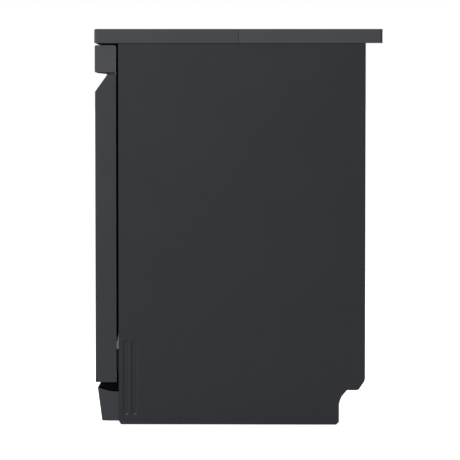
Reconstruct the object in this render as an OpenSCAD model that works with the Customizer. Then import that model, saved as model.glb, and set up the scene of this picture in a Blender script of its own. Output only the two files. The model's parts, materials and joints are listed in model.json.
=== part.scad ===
// Built-in dishwasher, 60 cm wide, with a drop-down door, two racks and a cutlery tray.
// Origin on the floor below the centre of the worktop. The front is -Y and up is +Z.

/* [Worktop] */
// Width of the worktop
top_w = 600; // [580:1:620]
// Depth of the worktop
top_d = 612; // [600:1:640]
// Height from the floor to the top face
top_z = 845; // [840:1:870]
// Thickness of the worktop
top_t = 30; // [26:1:34]
// Width of the plastic edge trim
edge_w = 8; // [5:1:14]
// Radius of the trim's front corners seen from above
edge_r = 6; // [2:1:8]

/* [Cabinet] */
// Width over both side panels
body_w = 598; // [590:1:600]
// Distance of the side panel's front edge from the centre
body_front = 255; // [250:1:258]
// Distance of the side panel's rear edge from the centre
body_rear = 270.5; // [268:0.5:280]
// Height of the side panel's lower edge
body_z0 = 2; // [1:1:6]
// Sheet thickness of the cabinet
sheet_t = 1; // [0.6:0.1:1.5]
// Width of the pressed grooves in the side panels
groove_w = 14; // [8:0.5:15]
// Lower end of the grooves
groove_z0 = 22; // [15:1:40]
// Upper end of the grooves
groove_z1 = 183; // [120:1:260]
// Height of the floor tray
tray_h = 62; // [50:1:63]

/* [Tub] */
// Outer width of the tub
tub_w = 547; // [540:1:548]
// Distance of the tub's front edge from the centre
tub_front = 252; // [248:1:253]
// Distance of the tub's rear wall from the centre
tub_rear = 238; // [230:1:250]
// Underside of the tub floor
tub_z0 = 188.5; // [188:0.5:190]
// Upper side of the tub ceiling
tub_z1 = 785; // [780:1:790]
// Wall of the tub
tub_t = 1.5; // [1:0.5:2]
// Corner radius of the tub
tub_r = 12; // [8:1:14]

/* [Door] */
// Width of the door
door_w = 592; // [588:1:594]
// Distance of the door's front face from the centre
door_front = 304.5; // [300:0.5:305]
// Lower edge of the door panel
door_z0 = 92; // [90:1:100]
// Upper edge of the door panel
door_z1 = 749; // [740:1:752]
// Distance of the hinge axis from the centre
pivot_y = 258; // [256:1:260]
// Height of the hinge axis
pivot_z = 172; // [165:1:176]
// Height of the control panel's lower edge
console_z0 = 752.6; // [750:0.1:760]
// Height of the control panel's upper edge
console_z1 = 810.6; // [805:0.1:811]
// Width of the deep middle of the handle pocket
grip_w = 260; // [120:5:320]

/* [Racks] */
// Half width of the rack baskets
rack_hw = 240; // [220:1:243]
// Front of the rack baskets
rack_front = 212; // [200:1:214]
// Rear of the rack baskets
rack_rear = 200; // [180:1:205]
// Thickness of the rack wires
wire_d = 3.6; // [3:0.1:4.5]
// Spacing of the rack wires
wire_pitch = 34; // [28:1:50]
// Height of the lower basket's floor
low_z = 238; // [236:1:242]
// Height of the upper basket's floor
up_z = 570; // [566:1:580]
// Height of the cutlery tray's floor
tray_z = 716; // [712:1:720]
// Radius of the rack wheels
wheel_r = 18; // [16:1:18]

/* [Spray arms] */
// Reach of the lower spray arm
arm_low_r = 226; // [200:1:228]
// Reach of the middle spray arm
arm_mid_r = 208; // [180:1:210]
// Reach of the top spray arm
arm_top_r = 170; // [120:1:190]

/* [Feet and fits] */
// Distance of the feet from the middle
foot_x = 250; // [230:1:260]
// Radius of a foot pad
pad_r = 19; // [15:1:24]
// Radius of a foot screw
stud_r = 4.8; // [4:0.1:6]
// Radial clearance of turning and screwed pairs
run_gap = 0.05; // [0.02:0.01:0.1]
// Clearance of sliding pairs
slide_gap = 0.3; // [0.2:0.05:0.5]

/* [Hidden] */
$fn = 48;
half_w = body_w / 2;
panel_in = half_w - sheet_t;
panel_z1 = top_z - top_t;
fold_y = body_rear - 2.5;
groove_y = [-239.5, -222];
door_hw = door_w / 2;
tub_hw = tub_w / 2;
tub_in = tub_hw - tub_t;
floor_z = tub_z0 + tub_t;
ceil_z = tub_z1 - tub_t;
ledge_z = floor_z + 4;
axle_z = ledge_z + wheel_r;
arm_y = -6;
sump_y = 10;
foot_y = [-215, 160];
wheel_y = [-125, 150];
axle_r = 4;
flange_hw = 286;
pin_r = 5;
arm_low_z = 212;
arm_mid_z = 544;
arm_top_z = 762;
tine_y0 = -118;
tine_y1 = 188;
tine_x = -62;
tine_h = 78;
rod_r = 2.4;
shelf_z = 636;
shelf_w = 72;
shelf_x = 232;
lid_x0 = 42;
cup_x = 48;
cup_y = 44;
salt_x = -150;
salt_y = 118;
float_x = 205;
float_y = -150;
rinse_x = 0;
rinse_z = 438;
console_front = 305;

// A box between two opposite corners.
module block(a, b) {
    translate(a) cube(b - a);
}

// A flat outline in Y and Z, extruded along X.
module along_x(x0, x1) {
    translate([x0, 0, 0]) rotate([90, 0, 90]) linear_extrude(height = x1 - x0) children();
}

// A flat outline in X and Z, extruded along Y.
module along_y(y0, y1) {
    translate([0, y1, 0]) rotate([90, 0, 0]) linear_extrude(height = y1 - y0) children();
}

// A rectangle with round corners.
module round_rect(a, b, r) {
    translate([a[0] + r, a[1]]) square([b[0] - a[0] - 2 * r, b[1] - a[1]]);
    translate([a[0], a[1] + r]) square([b[0] - a[0], b[1] - a[1] - 2 * r]);
    for (x = [a[0] + r, b[0] - r], y = [a[1] + r, b[1] - r]) translate([x, y]) circle(r = r);
}

// A round rod along X, Y or Z.
module rod_x(x0, x1, y, z, r) {
    translate([x0, y, z]) rotate([0, 90, 0]) cylinder(h = x1 - x0, r = r);
}

module rod_y(x, y0, y1, z, r) {
    translate([x, y1, z]) rotate([90, 0, 0]) cylinder(h = y1 - y0, r = r);
}

module rod_z(x, y, z0, z1, r) {
    translate([x, y, z0]) cylinder(h = z1 - z0, r = r);
}

module both_sides() {
    children();
    mirror([1, 0, 0]) children();
}

// ---- cabinet ----

// A pressed groove with sloping flanks and round ends, as a cutter or as its back.
module groove(y, grow, x_back, x_face) {
    r0 = groove_w / 2 + grow;
    r1 = groove_w / 2 - 2.8 + grow;
    lo = groove_z0 + groove_w / 2;
    hi = groove_z1 - groove_w / 2;
    for (z = [lo, hi]) translate([x_back, y, z]) rotate([0, 90, 0])
        cylinder(h = x_face - x_back, r1 = r1, r2 = r0);
    translate([0, 0, lo]) linear_extrude(height = hi - lo)
        polygon([[x_back, y - r1], [x_face, y - r0], [x_face, y + r0], [x_back, y + r1]]);
}

// Outline of a side panel seen from the side, with the plinth cut-out at the rear.
module side_outline() {
    f = -body_front;
    b = body_rear;
    z = body_z0;
    polygon([
        [f, z + 8], [f + 4.5, z], [209, z], [215, z + 6], [215, 46], [217, 54], [221, 63], [232, 76],
        [253, 76], [257, 77.5], [b - 1.8, 94.5], [b, 101], [b, panel_z1 - sheet_t],
        [f, panel_z1 - sheet_t]
    ]);
}

module side_panel() {
    difference() {
        union() {
            along_x(panel_in, half_w) side_outline();
            for (y = groove_y) groove(y, 0.9, panel_in - 1.6, panel_in);
            // folded edges
            block([panel_in - 11, -body_front, 262], [panel_in, -body_front + sheet_t, panel_z1]);
            block([panel_in - 15, fold_y - sheet_t, 104], [panel_in, fold_y, panel_z1]);
            block([panel_in - 15, -body_front, panel_z1 - 2 * sheet_t], [panel_in, body_rear, panel_z1]);
            block([panel_in - 12, -body_front + 6, body_z0], [panel_in, 205, body_z0 + sheet_t]);
        }
        for (y = groove_y) groove(y, 0, half_w - 1.8, half_w + 0.01);
    }
}

module side_panel_right() {
    color([0.2, 0.2, 0.21]) side_panel();
}

module side_panel_left() {
    color([0.2, 0.2, 0.21]) mirror([1, 0, 0]) side_panel();
}

module worktop_board() {
    e = edge_w + 0.2;
    color([0.28, 0.28, 0.29])
        block([-top_w / 2 + e, -top_d / 2 + e, top_z - top_t + 3.2], [top_w / 2 - e, top_d / 2 - e, top_z]);
}

// Seen from above, one half of the frame round the worktop board.
module trim_half(y0, y1, depth) {
    difference() {
        translate([0, 0, top_z - top_t]) linear_extrude(height = top_t)
            intersection() {
                round_rect([-top_w / 2, -top_d / 2], [top_w / 2, top_d / 2], edge_r);
                translate([-top_w, y0]) square([2 * top_w, y1 - y0]);
            }
        block([-top_w / 2 + edge_w, -top_d / 2 + edge_w, top_z - top_t + 3],
            [top_w / 2 - edge_w, top_d / 2 - edge_w, top_z + 1]);
        block([-top_w / 2 + depth, -top_d / 2 + depth, top_z - top_t - 1],
            [top_w / 2 - depth, top_d / 2 - depth, top_z]);
    }
}

// Quarter round taken off the upper front edge.
module edge_round(r) {
    y = -top_d / 2;
    difference() {
        block([-top_w, y - 1, top_z - r], [top_w, y + r, top_z + 1]);
        rod_x(-top_w, top_w, y + r, top_z - r, r);
    }
}

module worktop_front_trim() {
    color([0.26, 0.26, 0.27]) difference() {
        trim_half(-top_d / 2, -0.4, 24);
        edge_round(4);
    }
}

module worktop_rear_trim() {
    color([0.28, 0.28, 0.29]) trim_half(0.4, top_d / 2, 24);
}

module worktop_front_seal() {
    z = top_z - top_t - 0.1;
    color([0.04, 0.04, 0.04]) along_x(-door_hw, door_hw)
        polygon([[-304, z], [-295.5, z - 3.9], [-257, z - 3.9], [-257, z]]);
}

module back_panel() {
    y = fold_y - 2 * sheet_t - 0.2;
    color([0.55, 0.56, 0.57]) difference() {
        union() {
            block([-panel_in + 0.5, y, 104], [panel_in - 0.5, y + sheet_t, panel_z1 - 2 * sheet_t - 0.2]);
            along_y(y - 3, y) round_rect([-220, 150], [220, 740], 20);
        }
        along_y(y - 1.9, y + 2) round_rect([-218.8, 151.2], [218.8, 738.8], 19);
    }
}

// Floor tray with walls, four tub columns, foot bosses and the drain spigot.
module base_tray() {
    w = panel_in - 2;
    z0 = 8;
    z1 = z0 + tray_h;
    color([0.13, 0.13, 0.14]) difference() {
        union() {
            block([-w, -tub_front, z0], [w, 180, z0 + 3]);
            for (y = [-tub_front, 177]) block([-w, y, z0], [w, y + 3, z1]);
            for (x = [-w, w - 3]) block([x, -tub_front, z0], [x + 3, 180, z1]);
            for (x = [-232, 196], y = [-138, 118])
                block([x, y, z0], [x + 36, y + 30, tub_z0 - 0.2]);
            for (x = [-foot_x, foot_x], y = foot_y) rod_z(x, y, z0, z0 + 44, 13);
            rod_y(200, 178, 208, 45, 10.5);
        }
        for (x = [-foot_x, foot_x], y = foot_y) rod_z(x, y, z0 - 1, z0 + 50, stud_r + run_gap);
        for (x = [-229, 199], y = [-135, 121]) block([x, y, z0 + 4], [x + 30, y + 24, tub_z0 - 4]);
        rod_y(200, 170, 240, 45, 8);
        rod_y(-216, 170, 185, 48, 18.4);
    }
}

// Plinth moulding whose concave top clears the turning door.
module kick_plate() {
    color([0.17, 0.17, 0.18]) difference() {
        along_x(-door_hw, door_hw) difference() {
            polygon([[-300, 80], [-291, 11], [-288, 9.5], [-254.5, 9.5], [-254.5, 82], [-300, 82]]);
            translate([-pivot_y, pivot_z]) circle(r = 100.3, $fn = 180);
            translate([-299, 80]) square([50, 10]);
        }
        along_x(-door_hw + 3, door_hw - 3)
            polygon([[-294, 70], [-287.5, 13], [-250, 13], [-250, 67], [-280, 68]]);
    }
}

module top_crossbar() {
    z0 = 798;
    z1 = panel_z1 - 2 * sheet_t - 0.2;
    color([0.6, 0.61, 0.62]) {
        difference() {
            block([-panel_in + 0.2, -253.8, z0], [panel_in - 0.2, -222, z1]);
            block([-panel_in + 1.5, -252.4, z0 - 1], [panel_in - 1.5, -223.4, z1 - 1.4]);
            block([-14, -255, z0 + 1.5], [14, -250, z0 + 11]);
        }
        rod_x(-12, 12, -236, z0 + 2, 2);
        both_sides() block([11.8, -238, z0], [14, -234, z1 - 1]);
    }
}

// Pan-head screws that hold the back panel and the side panels.
module cabinet_screws() {
    y = fold_y - 0.1;
    color([0.72, 0.72, 0.72]) both_sides() {
        for (z = [170, 480, 790]) {
            rod_y(panel_in - 8, y, y + 2.2, z, 4);
            rod_y(panel_in - 8, y - 10, y, z, 1.6);
        }
    }
}

// ---- tub and water parts ----

module tub() {
    color([0.7, 0.71, 0.72]) {
        difference() {
            union() {
                along_y(-tub_front, tub_rear) round_rect([-tub_hw, tub_z0], [tub_hw, tub_z1], tub_r);
                // raised rim round the opening
                along_y(-tub_front - 2, -tub_front)
                    round_rect([-flange_hw, pivot_z + 4], [flange_hw, tub_z1 + 12], 4);
                // seat of the sump
                rod_z(0, sump_y, tub_z0 - 3, tub_z0 + 1, 106);
            }
            along_y(-tub_front - 3, tub_rear - tub_t)
                round_rect([-tub_in, floor_z], [tub_in, ceil_z], tub_r - tub_t);
            rod_z(0, sump_y, tub_z0 - 10, floor_z + 1, 95);
            rod_z(salt_x, salt_y, tub_z0 - 1, floor_z + 1, 30);
            rod_z(float_x, float_y, tub_z0 - 1, floor_z + 1, 5 + run_gap);
            rod_z(0, 227, tub_z0 - 1, floor_z + 1, 8);
        }
        // ledges that carry the lower rack's wheels
        both_sides() block([247, -238, floor_z - 0.5], [266, 205, ledge_z]);
    }
}

// Rubber profile round the tub opening, open at the bottom.
module door_seal() {
    y0 = -pivot_y - 1.6;
    y1 = -tub_front - 2.1;
    zt = tub_z1 + 12;
    color([0.05, 0.05, 0.05]) along_y(y0, y1) difference() {
        translate([-flange_hw + 1, pivot_z + 5]) square([2 * flange_hw - 2, zt - pivot_z - 5.5]);
        translate([-tub_hw - 0.5, pivot_z]) square([2 * tub_hw + 1, tub_z1 - pivot_z]);
    }
}

// Steel brackets on the side panels, each with the pin of the door hinge.
module hinge_brackets() {
    color([0.75, 0.75, 0.76]) both_sides() {
        along_x(292, 294.5) {
            translate([-pivot_y, pivot_z]) circle(r = 9);
            polygon([
                [-pivot_y, pivot_z], [-pivot_y, pivot_z + 9], [-244, 262], [-196, 262], [-196, 200],
                [-pivot_y + 9, pivot_z]
            ]);
        }
        block([294.4, -236, 205], [panel_in - 0.1, -200, 255]);
        rod_x(286.6, 292.2, -pivot_y, pivot_z, pin_r);
    }
}

// Coil springs that balance the door, with their hooks.
module hinge_springs() {
    color([0.62, 0.62, 0.63]) both_sides() {
        rod_y(286, -134, 14, 122, 6.4);
        for (i = [0:14]) rod_y(286, -132 + 10 * i, -127 + 10 * i, 122, 8);
        rod_y(286, -152, -134, 122, 2);
        rod_y(286, 14, 38, 122, 2);
        block([282, 36, 11.2], [290, 40, 128]);
    }
}

module sump() {
    color([0.16, 0.16, 0.17]) {
        difference() {
            union() {
                rod_z(0, sump_y, 100, tub_z0 - 3.2, 92);
                rod_z(0, sump_y, tub_z0 - 9, tub_z0 - 3.1, 104);
                rod_z(0, sump_y, 120, floor_z, 94.7);
            }
            rod_z(0, sump_y, 104, floor_z + 1, 89);
            rod_z(0, sump_y, floor_z - 4, floor_z + 1, 92.2);
        }
        // column of the lower spray arm
        rod_z(0, arm_y, 103, 206, 13);
        rod_z(0, arm_y, 205, 225, 6);
        rod_z(0, arm_y, 222.4, 226, 9);
    }
}

// Fine steel filter plate in the mouth of the sump.
module filter_plate() {
    color([0.66, 0.67, 0.68]) difference() {
        rod_z(0, sump_y, floor_z - 3.9, floor_z - 1.9, 92);
        rod_z(0, arm_y, 180, 195, 13.3);
        rod_z(cup_x, cup_y, 180, 195, 30 + run_gap);
        for (i = [0:5]) block([-80 + 9 * i, -10, 180], [-76 + 9 * i, 46, 195]);
        for (i = [0:4]) block([22 + 11 * i, -46, 180], [26 + 11 * i, -4, 195]);
    }
}

// Cylindrical coarse filter with a grip across the top.
module filter_cup() {
    z1 = floor_z + 5;
    color([0.75, 0.76, 0.77]) {
        difference() {
            union() {
                rod_z(cup_x, cup_y, 120, z1, 30);
                rod_z(cup_x, cup_y, floor_z - 1.7, z1, 33);
            }
            rod_z(cup_x, cup_y, 124, z1 + 1, 26.5);
            for (a = [0:15:165]) translate([cup_x, cup_y, 130]) rotate([0, 0, a + 7])
                translate([-2, -40, 0]) cube([4, 80, 44]);
        }
        block([cup_x - 27, cup_y - 4, z1 - 6], [cup_x + 27, cup_y + 4, z1 + 9]);
    }
}

module circulation_pump() {
    color([0.2, 0.2, 0.21]) {
        rod_x(-60, 18, 146, 114, 33);
        rod_x(18, 52, 146, 114, 37);
        rod_x(-74, -60, 146, 114, 20);
        rod_y(35, 103, 146, 114, 16);
        block([-52, 126, 11.2], [-40, 166, 90]);
        block([8, 126, 11.2], [16, 166, 90]);
    }
}

module drain_pump() {
    color([0.82, 0.82, 0.8]) {
        rod_y(-120, -30, 20, 62, 24);
        rod_y(-120, 20, 34, 62, 14);
        block([-138, -26, 11.2], [-102, 16, 50]);
        rod_z(-120, 6, 62, 95, 9);
    }
}

// Salt container with its neck in the tub floor.
module water_softener() {
    color([0.86, 0.86, 0.84]) difference() {
        union() {
            block([-192, 76, 80], [-104, 174, 166]);
            rod_z(salt_x, salt_y, 150, floor_z + 1.6, 29.6);
            rod_z(salt_x, salt_y, tub_z0 - 5, tub_z0 - 0.2, 34);
            block([-180, 100, 11.2], [-170, 170, 90]);
            block([-124, 100, 11.2], [-114, 170, 90]);
        }
        block([-189, 79, 84], [-107, 171, 162]);
        rod_z(salt_x, salt_y, 155, floor_z + 3, 25 + run_gap);
    }
}

module salt_cap() {
    color([0.85, 0.86, 0.88]) {
        rod_z(salt_x, salt_y, floor_z + 1.8, floor_z + 8, 33);
        rod_z(salt_x, salt_y, floor_z - 16, floor_z + 2, 25);
        block([salt_x - 24, salt_y - 3.5, floor_z + 7.5], [salt_x + 24, salt_y + 3.5, floor_z + 14]);
    }
}

// Solenoid valve with a three-quarter inch inlet thread facing the rear.
module inlet_valve() {
    color([0.9, 0.9, 0.88]) difference() {
        union() {
            rod_y(-216, 182, 210, 48, 13.2);
            rod_y(-216, 168, 182, 48, 18);
            block([-230, 150, 30], [-202, 174, 70]);
            rod_z(-216, 162, 70, 92, 11);
        }
        rod_y(-216, 176, 240, 48, 9);
    }
}

// Flat moulded vessel between the tub and the left side panel.
module air_break() {
    color([0.88, 0.88, 0.86]) difference() {
        along_x(-295, -276) round_rect([-100, 210], [170, 640], 24);
        for (i = [0:5]) along_x(-298, -293)
            round_rect([-70 + 40 * i, 250], [-54 + 40 * i, 590], 7.9);
    }
}

// Riser on the rear wall that feeds the upper and the top spray arm.
module water_feed_pipe() {
    y = tub_rear - tub_t - 0.3;
    color([0.3, 0.31, 0.32]) difference() {
        union() {
            rod_z(0, 227, 170, 210, 7.6);
            block([-17, y - 18, 205], [17, y, ceil_z - 3]);
            block([-17, arm_y - 10, ceil_z - 12], [17, y, ceil_z - 0.3]);
            rod_z(0, arm_y, arm_top_z + 9, ceil_z - 0.3, 17);
            rod_z(0, arm_y, arm_top_z - 8, ceil_z - 3, 6);
            rod_z(0, arm_y, arm_top_z - 9, arm_top_z - 6.3, 9);
            rod_y(0, y - 26, y - 16, arm_mid_z + 14, 14);
        }
        rod_y(0, y - 30, y - 6, arm_mid_z + 14, 10);
    }
}

// Float switch with a mushroom cap on the tub floor.
module float_cap() {
    color([0.8, 0.8, 0.8]) {
        rod_z(float_x, float_y, floor_z + 0.3, floor_z + 11, 15);
        rod_z(float_x, float_y, floor_z + 10, floor_z + 14, 11);
        rod_z(float_x, float_y, 150, floor_z + 1, 5);
    }
}

// Two-blade spray arm with a hub bored for its bearing pin.
module spray_arm(z, reach, t, hub_r) {
    translate([0, arm_y, z]) difference() {
        union() {
            cylinder(h = t, r = hub_r);
            for (a = [0, 180]) rotate(a) {
                linear_extrude(height = t - 3) polygon([
                    [0, -20], [reach - 16, -13], [reach - 16, 13], [0, 20]
                ]);
                translate([reach - 16, 0, 0]) cylinder(h = t - 3, r = 13);
                translate([0, 0, t - 3.01]) linear_extrude(height = 2) polygon([
                    [0, -12], [reach - 20, -7], [reach - 20, 7], [0, 12]
                ]);
            }
        }
        translate([0, 0, -1]) cylinder(h = t + 2, r = 6 + run_gap);
        for (i = [1:4]) for (a = [0, 180]) rotate(a)
            translate([i * reach / 5 + 14, 3 - 2 * (i % 3), t - 3]) cylinder(h = 4, r = 1.8);
    }
}

module lower_spray_arm() {
    color([0.36, 0.38, 0.4]) spray_arm(arm_low_z - 5, arm_low_r, 15, 24);
}

module top_spray_arm() {
    color([0.36, 0.38, 0.4]) spray_arm(arm_top_z - 6, arm_top_r, 13, 20);
}

module foot(x, y) {
    rod_z(x, y, 0, 5, pad_r);
    rod_z(x, y, 5, 7.5, pad_r - 5);
    rod_z(x, y, 7, 50, stud_r);
}

module foot_front_left() {
    color([0.1, 0.1, 0.1]) foot(-foot_x, foot_y[0]);
}

module foot_front_right() {
    color([0.1, 0.1, 0.1]) foot(foot_x, foot_y[0]);
}

module foot_rear_left() {
    color([0.1, 0.1, 0.1]) foot(-foot_x, foot_y[1]);
}

module foot_rear_right() {
    color([0.1, 0.1, 0.1]) foot(foot_x, foot_y[1]);
}

// ---- racks ----

module wire_x(x0, x1, y, z) {
    translate([x0, y, z]) rotate([0, 90, 0]) rotate(22.5) cylinder(h = x1 - x0, d = wire_d, $fn = 8);
}

module wire_y(x, y0, y1, z) {
    translate([x, y1, z]) rotate([90, 0, 0]) rotate(22.5) cylinder(h = y1 - y0, d = wire_d, $fn = 8);
}

module wire_z(x, y, z0, z1) {
    translate([x, y, z0]) rotate(22.5) cylinder(h = z1 - z0, d = wire_d, $fn = 8);
}

// Positions spread evenly between two limits, close to the wire pitch.
function spread(a, b, pitch) = let (n = max(1, round((b - a) / pitch))) [for (i = [0:n]) a + (b - a) * i / n];

// Floor of welded wires: one layer along Y on one layer along X.
module floor_mat(x, y0, y1, z, pitch) {
    e = wire_d / 2;
    for (u = spread(-x + e, x - e, pitch)) wire_y(u, y0, y1, z);
    for (v = spread(y0 + e, y1 - e, 2.2 * pitch)) wire_x(-x, x, v, z - 0.78 * wire_d);
}

// Side wall of welded wires between two heights.
module side_mat(x, y0, y1, z0, z1, pitch) {
    e = wire_d / 2;
    for (v = spread(y0 + e, y1 - e, pitch)) wire_z(x, v, z0, z1);
    for (w = [z0 + e, (z0 + z1) / 2, z1 - e]) wire_y(x + 0.78 * wire_d, y0, y1, w);
}

module end_mat(x, y, z0, z1, pitch, out) {
    e = wire_d / 2;
    for (u = spread(-x + e, x - e, pitch)) wire_z(u, y, z0, z1);
    for (w = [z0 + e, (z0 + z1) / 2, z1 - e]) wire_x(-x, x, y + 0.78 * wire_d * out, w);
}

// Five flat mats that make a basket.
module basket(z, z_side, z_front, pitch) {
    e = wire_d / 2;
    ym = 2.0 * wire_d;
    floor_mat(rack_hw + 1.6, -rack_front + ym, rack_rear - ym, z, pitch);
    for (m = [0, 1]) mirror([m, 0, 0])
        side_mat(rack_hw + 2 + e, -rack_front, rack_rear, z - 1.6 * wire_d, z_side, 1.25 * pitch);
    end_mat(rack_hw + 1.6, -rack_front + ym - 0.2 - e, z - 1.6 * wire_d, z_front, 1.25 * pitch, -1);
    end_mat(rack_hw + 1.6, rack_rear - ym + 0.2 + e, z - 1.6 * wire_d, z_side, 1.25 * pitch, 1);
}

// A row of fixed tines on a base wire.
module comb(x, y0, y1, z, h, pitch) {
    wire_y(x, y0, y1, z);
    for (v = spread(y0 + 4, y1 - 4, pitch)) wire_z(x, v, z, z + h);
}

// Clip with a bore for a folding rod along Y.
module rod_clip(x, y, z, half, lift) {
    difference() {
        block([x - half, y, z - lift], [x + half, y + 6, z + 5]);
        rod_y(x, y - 1, y + 7, z, rod_r + run_gap);
    }
}

module lower_rack() {
    color([0.62, 0.64, 0.67]) {
        basket(low_z, 398, 322, wire_pitch);
        comb(92, tine_y0, tine_y1, low_z + 3.8, tine_h, 30);
        comb(168, tine_y0, tine_y1, low_z + 3.8, tine_h, 30);
        for (y = [tine_y0 + 2, tine_y1 - 8]) rod_clip(tine_x, y, low_z + 9, 5, 7);
        // axle plates and stub axles of the wheels
        for (m = [0, 1], y = wheel_y) mirror([m, 0, 0]) {
            block([248.9, y - 14, axle_z - 9], [251.4, y + 14, low_z + 34]);
            rod_x(251, 262.8, y, axle_z, axle_r);
            rod_x(262.3, 264, y, axle_z, 6.5);
        }
    }
}

// Folding row of tines on a round rod.
module tine_row() {
    z = low_z + 9;
    color([0.62, 0.64, 0.67]) {
        rod_y(tine_x, tine_y0, tine_y1, z, rod_r);
        for (v = spread(tine_y0 + 18, tine_y1 - 18, 30))
            translate([tine_x, v, z]) cylinder(h = tine_h, r = 1.7);
    }
}

// Slots of a basket wall, in three rows.
module wall_slots(a, b, y0, y1, z0) {
    for (u = spread(a, b, 23), k = [0:2]) block([u - 6, y0, z0 + 33 * k], [u + 6, y1, z0 + 24 + 33 * k]);
}

// Perforated basket for cutlery, clipped together from plates, with a divider that ends in a grip.
module cutlery_basket() {
    x = 150;
    y0 = -200;
    y1 = -136;
    z0 = low_z + 2.4;
    z1 = 352;
    t = 2.2;
    color([0.5, 0.52, 0.55]) {
        difference() {
            block([-x, y0, z0], [x, y1, z0 + t]);
            for (m = [0, 1], u = spread(15, x - 15, 23), v = [0:2]) mirror([m, 0, 0])
                block([u - 6, y0 + 8 + 18 * v, z0 - 1], [u + 6, y0 + 18 + 18 * v, z0 + 4]);
        }
        for (y = [y0, y1 - t]) difference() {
            block([-x, y, z0 + t + 0.1], [x, y + t, z1]);
            for (m = [0, 1]) mirror([m, 0, 0]) wall_slots(15, x - 15, y - 1, y + t + 1, z0 + 12);
        }
        both_sides() block([x - t, y0 + t + 0.1, z0 + t + 0.1], [x, y1 - t - 0.1, z1]);
        difference() {
            union() {
                block([-1.1, y0 + t + 0.1, z0 + t + 0.1], [1.1, y1 - t - 0.1, z1]);
                block([-2, y0 + 11, z1 - 6], [2, y1 - 11, z1 + 26]);
            }
            block([-3, y0 + 18, z1 + 4], [3, y1 - 18, z1 + 19]);
        }
    }
}

module wheel(x0, x1, y) {
    difference() {
        rod_x(x0, x1, y, axle_z, wheel_r);
        rod_x(x0 - 1, x1 + 1, y, axle_z, axle_r + run_gap);
        for (a = [30:60:330]) translate([0, y, axle_z]) rotate([a, 0, 0])
            rod_x(x0 - 1, x1 + 1, 0, 11, 2.6);
    }
}

module front_wheels() {
    color([0.4, 0.42, 0.45]) both_sides() wheel(251.8, 261.9, wheel_y[0]);
}

module rear_wheels() {
    color([0.4, 0.42, 0.45]) both_sides() wheel(251.8, 261.9, wheel_y[1]);
}

module upper_rack() {
    color([0.62, 0.64, 0.67]) {
        basket(up_z, 688, 650, wire_pitch);
        for (x = [-40, 52]) comb(x, -150, 150, up_z + 3.8, 48, 38);
        for (m = [0, 1], y = [-150, 116]) mirror([m, 0, 0])
            difference() {
                block([shelf_x - 5, y, shelf_z - 5], [rack_hw + 1.8, y + 6, shelf_z + 5]);
                rod_y(shelf_x, y - 1, y + 7, shelf_z, rod_r + run_gap);
            }
        // carriers with rollers that run in the telescopic rails
        for (m = [0, 1]) mirror([m, 0, 0]) {
            block([248.9, -180, 606], [253, 140, 626]);
            for (y = [-166, -20, 126]) rod_x(252.9, 266.6, y, 616, 13);
        }
    }
}

// Pipe under the upper rack, with the bearing of the middle spray arm.
module upper_feed_pipe() {
    z = arm_mid_z + 14;
    color([0.36, 0.38, 0.4]) difference() {
        union() {
            rod_y(0, arm_y, 207, z, 5.6);
            rod_y(0, 200, 207, z, 9);
            rod_z(0, arm_y, arm_mid_z + 7.3, z + 2, 15);
            rod_z(0, arm_y, arm_mid_z - 9, z, 6);
            rod_z(0, arm_y, arm_mid_z - 10, arm_mid_z - 6.3, 9);
        }
        rod_y(0, 40, 210, z, 4.2);
    }
}

module middle_spray_arm() {
    color([0.36, 0.38, 0.4]) spray_arm(arm_mid_z - 6, arm_mid_r, 13, 20);
}

// Folding shelf for cups, hinged on the basket's side.
module cup_shelf() {
    y0 = -152;
    y1 = 124;
    rod_y(shelf_x, y0, y1, shelf_z, rod_r);
    for (v = spread(y0 + 14, y1 - 14, 25)) wire_x(shelf_x - shelf_w, shelf_x, v, shelf_z);
    for (u = [shelf_w - 1.8, shelf_w / 2])
        wire_y(shelf_x - u, y0 + 12, y1 - 12, shelf_z + (u > 40 ? 0 : 2.4));
}

module cup_shelf_right() {
    color([0.62, 0.64, 0.67]) cup_shelf();
}

module cup_shelf_left() {
    color([0.62, 0.64, 0.67]) mirror([1, 0, 0]) cup_shelf();
}

// Fixed outer rails on the tub walls, for the upper rack and the cutlery tray.
module rack_rails() {
    color([0.72, 0.73, 0.74]) both_sides() {
        x0 = tub_in - 2.2;
        x1 = tub_in - 0.2;
        block([x0, -238, 598], [x1, 190, 634]);
        for (z = [598, 632]) block([262, -238, z], [x1, 190, z + 2]);
        block([x0, -240, 722], [x1, 196, 741]);
        for (z = [722, 739]) block([260, -240, z], [x1, 196, z + 2]);
    }
}

// Sliding middle members of the telescopic rails.
module upper_runners() {
    color([0.68, 0.69, 0.7]) both_sides() {
        block([267.3, -236, 600.4], [269.3, 188, 631.6]);
        for (z = [600.4, 629.6]) block([258, -236, z], [269.3, 188, z + 2]);
    }
}

// Shallow slotted tray for cutlery, with side runners.
module cutlery_tray() {
    x = 249;
    y0 = -205;
    y1 = 200;
    z1 = tray_z + 34;
    color([0.5, 0.52, 0.55]) {
        difference() {
            block([-x, y0, tray_z], [x, y1, z1]);
            for (s = [-1, 0, 1]) block([-x + 2.4 + (s + 1) * 165.4, y0 + 2.4, tray_z + 2.4],
                [-x + 165 + (s + 1) * 165.4, y1 - 2.4, z1 + 1]);
            for (u = spread(-x + 14, x - 14, 24), v = [0:4])
                if (abs(abs(u) - 83) > 8)
                    block([u - 5, y0 + 10 + 79 * v, tray_z - 1], [u + 5, y0 + 74 + 79 * v, tray_z + 4]);
            // grip in the front wall
            block([-60, y0 - 1, z1 - 14], [60, y0 + 3, z1 + 1]);
        }
        both_sides() block([x - 0.1, -200, 724.6], [268.6, 196, 738.4]);
    }
}

// ---- door ----

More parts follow.
